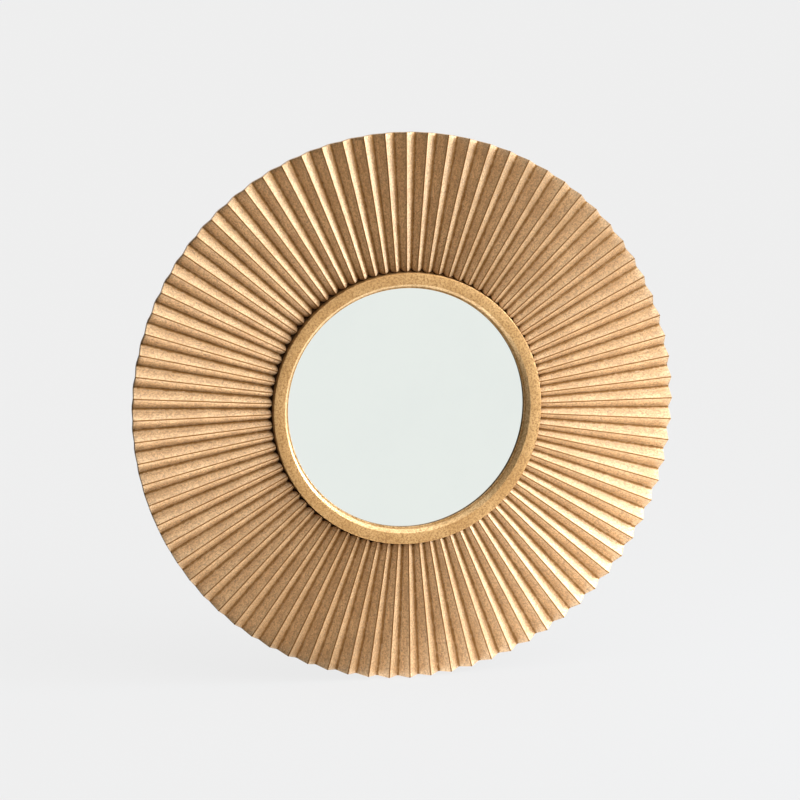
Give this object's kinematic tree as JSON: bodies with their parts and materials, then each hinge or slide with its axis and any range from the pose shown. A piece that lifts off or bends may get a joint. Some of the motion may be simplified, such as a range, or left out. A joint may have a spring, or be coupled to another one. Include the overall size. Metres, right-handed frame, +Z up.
{
  "type": "wall mirror",
  "caption": "Round wall mirror: a mirror disc in a bevelled ring, set in a wide pleated sunburst frame in aged gold, with a back board and hinged wire loops to hang it by.",
  "frame": {"origin": "on the mirror's axis, in the plane of the wall that the bumper pads rest on", "axes": "+Z up, +X to the right as seen from the room, and -Y out of the wall towards the room, so the glass faces -Y"},
  "size_m": [0.5, 0.0305, 0.5],
  "materials": {
    "aged_gold": "cast resin under rubbed gold leaf, brown patina in the valleys",
    "mirror": "silvered clear glass",
    "foam_tape": "double-sided foam tape",
    "fibreboard": "fibreboard painted dark brown",
    "zinc_steel": "zinc plated",
    "pad_rubber": "matt black rubber"
  },
  "bodies": {
    "mirror": {"pleated_fan": "aged_gold", "bezel_ring": "aged_gold", "mirror_glass": "mirror", "glass_tape": "foam_tape", "back_board": "fibreboard", "frame_screws": "zinc_steel", "left_hanger_strap": "zinc_steel", "right_hanger_strap": "zinc_steel", "hanger_screws": "zinc_steel", "wall_pads": "pad_rubber"},
    "left_loop": {"left_hanger_loop": "zinc_steel"},
    "right_loop": {"right_hanger_loop": "zinc_steel"}
  },
  "joints": [
    {"name": "left_loop_hinge", "type": "hinge", "parent": "mirror", "child": "left_loop", "pos_m": [-0.055, -0.003, 0.07], "axis": [-1, 0, 0], "range_deg": [0, 182]},
    {"name": "right_loop_hinge", "type": "hinge", "parent": "mirror", "child": "right_loop", "pos_m": [0.055, -0.003, 0.07], "axis": [-1, 0, 0], "range_deg": [0, 182]}
  ]
}
